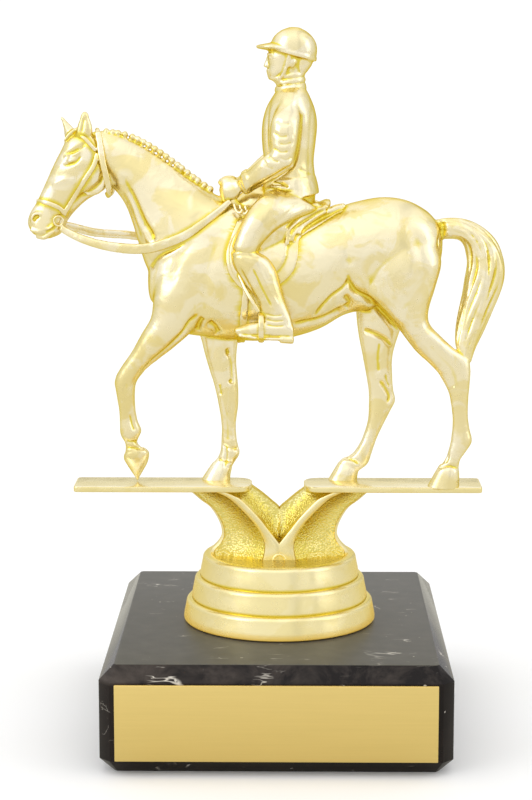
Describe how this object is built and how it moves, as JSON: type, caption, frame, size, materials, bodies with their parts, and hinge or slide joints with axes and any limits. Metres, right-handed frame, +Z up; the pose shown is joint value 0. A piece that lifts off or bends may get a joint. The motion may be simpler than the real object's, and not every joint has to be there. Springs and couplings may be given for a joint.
{
  "type": "equestrian trophy",
  "caption": "Equestrian trophy: a gold-plated horse and rider on a forked riser and stepped round foot, on a black marble block with a blank plate.",
  "frame": {"origin": "middle of the marble block's flat underside", "axes": "+Z up, -Y out of the face with the name plate, -X the way the horse faces"},
  "size_m": [0.1129, 0.0961, 0.1666],
  "materials": {
    "gold_plating": "bright plated, polished",
    "black_marble": "polished black stone with fine pale veins",
    "satin_gold": "satin, brushed"
  },
  "bodies": {
    "root": {"figure": "gold_plating", "marble_block": "black_marble", "name_plate": "satin_gold"}
  },
  "joints": []
}
